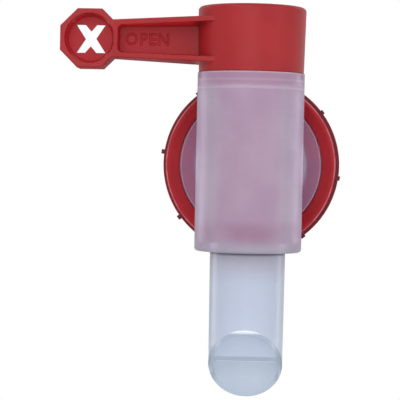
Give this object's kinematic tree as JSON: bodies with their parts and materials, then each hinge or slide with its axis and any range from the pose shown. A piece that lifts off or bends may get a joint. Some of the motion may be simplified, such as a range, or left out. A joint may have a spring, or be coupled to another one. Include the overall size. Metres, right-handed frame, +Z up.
{
  "type": "canister tap",
  "caption": "Plastic pouring tap for a canister: red lever and plug in a translucent barrel with a slant-cut spout, and a ribbed ring nut behind.",
  "frame": {"origin": "centre of the gasket's rear face, on the axis of the ring nut", "axes": "+Y along the ring nut's axis towards the canister, +Z up along the barrel, -Y the tap's front, -X the way the lever points when the tap is open"},
  "size_m": [0.107, 0.0692, 0.1481],
  "materials": {
    "translucent_plastic": "satin",
    "red_plastic": "satin",
    "gasket_rubber": "matt"
  },
  "bodies": {
    "tap": {"tap_body": "translucent_plastic", "gasket": "gasket_rubber"},
    "lever": {"lever_plug": "red_plastic"},
    "ring": {"ring_nut": "red_plastic"}
  },
  "joints": [
    {"name": "lever_turn", "type": "hinge", "parent": "tap", "child": "lever", "pos_m": [0, -0.0343, 0], "axis": [0, 0, 1], "range_deg": [0, 180]},
    {"name": "ring_spin", "type": "hinge", "parent": "tap", "child": "ring", "pos_m": [0, 0, 0], "axis": [0, 1, 0], "continuous": true}
  ]
}
